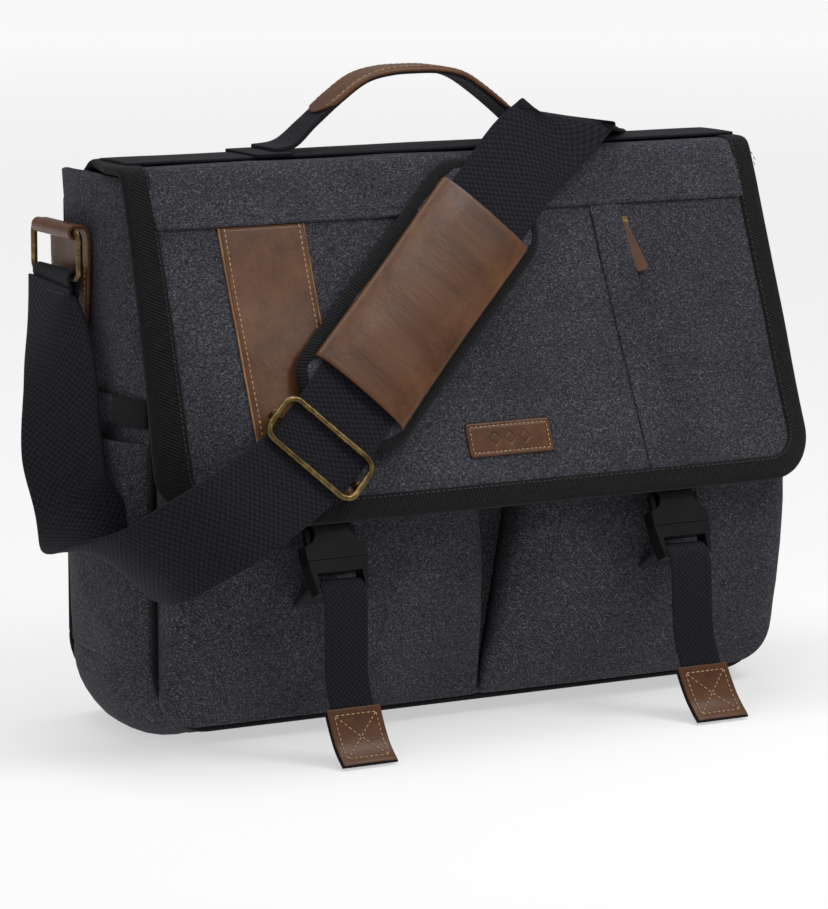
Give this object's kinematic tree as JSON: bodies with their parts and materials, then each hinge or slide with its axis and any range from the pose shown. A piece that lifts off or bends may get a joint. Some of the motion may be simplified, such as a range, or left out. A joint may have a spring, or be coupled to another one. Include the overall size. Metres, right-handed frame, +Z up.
{
  "type": "messenger bag",
  "caption": "Soft canvas messenger bag with a full front flap, leather trims, carry handle, padded shoulder strap, bellows front pockets and side-release buckles.",
  "frame": {"origin": "middle of the flat bottom, on the ground", "axes": "+X across the bag to the wearer's right seen from the front, -Y is the front with the flap, +Z up"},
  "size_m": [0.4965, 0.2434, 0.3509],
  "materials": {
    "canvas": "heathered weave",
    "canvas_trim": "heathered weave",
    "webbing": "basket weave",
    "twill": "twill tape",
    "lining": "plain weave",
    "leather": "oiled, distressed",
    "board": "stiff board",
    "brass": "antique, brushed",
    "plastic": "moulded, fine texture",
    "zip": "coil"
  },
  "bodies": {
    "bag": {"front_panel": "canvas", "back_panel": "canvas", "left_gusset": "canvas", "right_gusset": "canvas", "base_panel": "canvas", "base_board": "board", "lining": "lining", "laptop_divider": "lining", "laptop_strap": "webbing", "organizer_pocket": "lining", "front_pocket_left": "canvas", "front_pocket_right": "canvas", "side_pocket_left": "canvas", "side_pocket_right": "canvas", "side_band_left": "canvas_trim", "side_band_right": "canvas_trim", "piping_front": "twill", "piping_back": "twill", "ring_tab_left": "leather", "ring_tab_right": "leather", "anchor_webbing_left": "webbing", "anchor_webbing_right": "webbing", "strap_left_hang": "webbing", "strap_back": "webbing", "plug_left": "plastic", "plug_right": "plastic"},
    "flap": {"flap_panel": "canvas", "flap_lining": "lining", "flap_binding": "twill", "flap_yoke": "canvas", "leather_stripe": "leather", "label_patch": "leather", "top_webbing": "webbing", "zip_tape": "twill", "zip_chain": "zip", "zip_placket": "canvas", "handle_foot_left": "webbing", "handle_foot_right": "webbing", "strap_front": "webbing"},
    "handle": {"handle_webbing": "webbing", "handle_grip": "leather"},
    "pad": {"pad_base": "webbing", "pad_sleeve": "leather"},
    "slider": {"slider": "brass"},
    "zip_slider": {"zip_slider": "brass"},
    "zip_pull": {"zip_pull": "leather"},
    "socket_left": {"socket_left": "plastic"},
    "plug_arm_left_outer": {"plug_arm_left_outer": "plastic"},
    "plug_arm_left_inner": {"plug_arm_left_inner": "plastic"},
    "tail_left": {"tail_webbing_left": "webbing", "tail_tip_left": "leather"},
    "ring_left": {"ring_left": "brass", "strap_end_left": "webbing"},
    "socket_right": {"socket_right": "plastic"},
    "plug_arm_right_outer": {"plug_arm_right_outer": "plastic"},
    "plug_arm_right_inner": {"plug_arm_right_inner": "plastic"},
    "tail_right": {"tail_webbing_right": "webbing", "tail_tip_right": "leather"},
    "ring_right": {"ring_right": "brass", "strap_end_right": "webbing"}
  },
  "joints": [
    {"name": "flap_open", "type": "hinge", "parent": "bag", "child": "flap", "pos_m": [0, 0.0511, 0.2848], "axis": [-1, 0, 0], "range_deg": [0, 120]},
    {"name": "handle_swing", "type": "hinge", "parent": "flap", "child": "handle", "pos_m": [-0.012, 0, 0.3076], "axis": [1, 0, 0], "range_deg": [-15, 15]},
    {"name": "pad_slide", "type": "slide", "parent": "flap", "child": "pad", "axis": [0.7206, 0.2727, 0.6375], "range_m": [0, 0.018]},
    {"name": "slider_slide", "type": "slide", "parent": "flap", "child": "slider", "axis": [0.7206, 0.2727, 0.6375], "range_m": [-0.02, 0]},
    {"name": "zip_slide", "type": "slide", "parent": "flap", "child": "zip_slider", "axis": [0, -0.3933, -0.9194], "range_m": [0, 0.115]},
    {"name": "zip_pull_turn", "type": "hinge", "parent": "zip_slider", "child": "zip_pull", "pos_m": [0.095, -0.04983, 0.26059], "axis": [0, -0.9194, 0.3933], "range_deg": [-25, 30]},
    {"name": "buckle_release_left", "type": "slide", "parent": "flap", "child": "socket_left", "axis": [0, 0.3933, 0.9194], "range_m": [0, 0.022]},
    {"name": "pinch_left_outer", "type": "hinge", "parent": "bag", "child": "plug_arm_left_outer", "pos_m": [-0.1243, -0.10263, 0.1054], "axis": [0, -0.9194, 0.3933], "range_deg": [-5, 0], "stiffness_Nm_per_rad": 0.02},
    {"name": "pinch_left_inner", "type": "hinge", "parent": "bag", "child": "plug_arm_left_inner", "pos_m": [-0.0977, -0.10263, 0.1054], "axis": [0, -0.9194, 0.3933], "range_deg": [0, 5], "stiffness_Nm_per_rad": 0.02},
    {"name": "tail_swing_left", "type": "hinge", "parent": "bag", "child": "tail_left", "pos_m": [-0.111, -0.11262, 0.0945], "axis": [-1, 0, 0], "range_deg": [0, 60]},
    {"name": "ring_swing_left", "type": "hinge", "parent": "bag", "child": "ring_left", "pos_m": [-0.2075, 0.028, 0.269], "axis": [0, 1, 0], "range_deg": [0, 60]},
    {"name": "buckle_release_right", "type": "slide", "parent": "flap", "child": "socket_right", "axis": [0, 0.3933, 0.9194], "range_m": [0, 0.022]},
    {"name": "pinch_right_outer", "type": "hinge", "parent": "bag", "child": "plug_arm_right_outer", "pos_m": [0.1123, -0.10263, 0.1054], "axis": [0, -0.9194, 0.3933], "range_deg": [0, 5], "stiffness_Nm_per_rad": 0.02},
    {"name": "pinch_right_inner", "type": "hinge", "parent": "bag", "child": "plug_arm_right_inner", "pos_m": [0.0857, -0.10263, 0.1054], "axis": [0, -0.9194, 0.3933], "range_deg": [-5, 0], "stiffness_Nm_per_rad": 0.02},
    {"name": "tail_swing_right", "type": "hinge", "parent": "bag", "child": "tail_right", "pos_m": [0.099, -0.11262, 0.0945], "axis": [-1, 0, 0], "range_deg": [0, 60]},
    {"name": "ring_swing_right", "type": "hinge", "parent": "bag", "child": "ring_right", "pos_m": [0.2075, 0.028, 0.269], "axis": [0, -1, 0], "range_deg": [0, 60]}
  ],
  "couplings": [
    {"joint": "pinch_left_inner", "follows": "pinch_left_outer", "ratio": -1},
    {"joint": "pinch_right_inner", "follows": "pinch_right_outer", "ratio": -1}
  ]
}
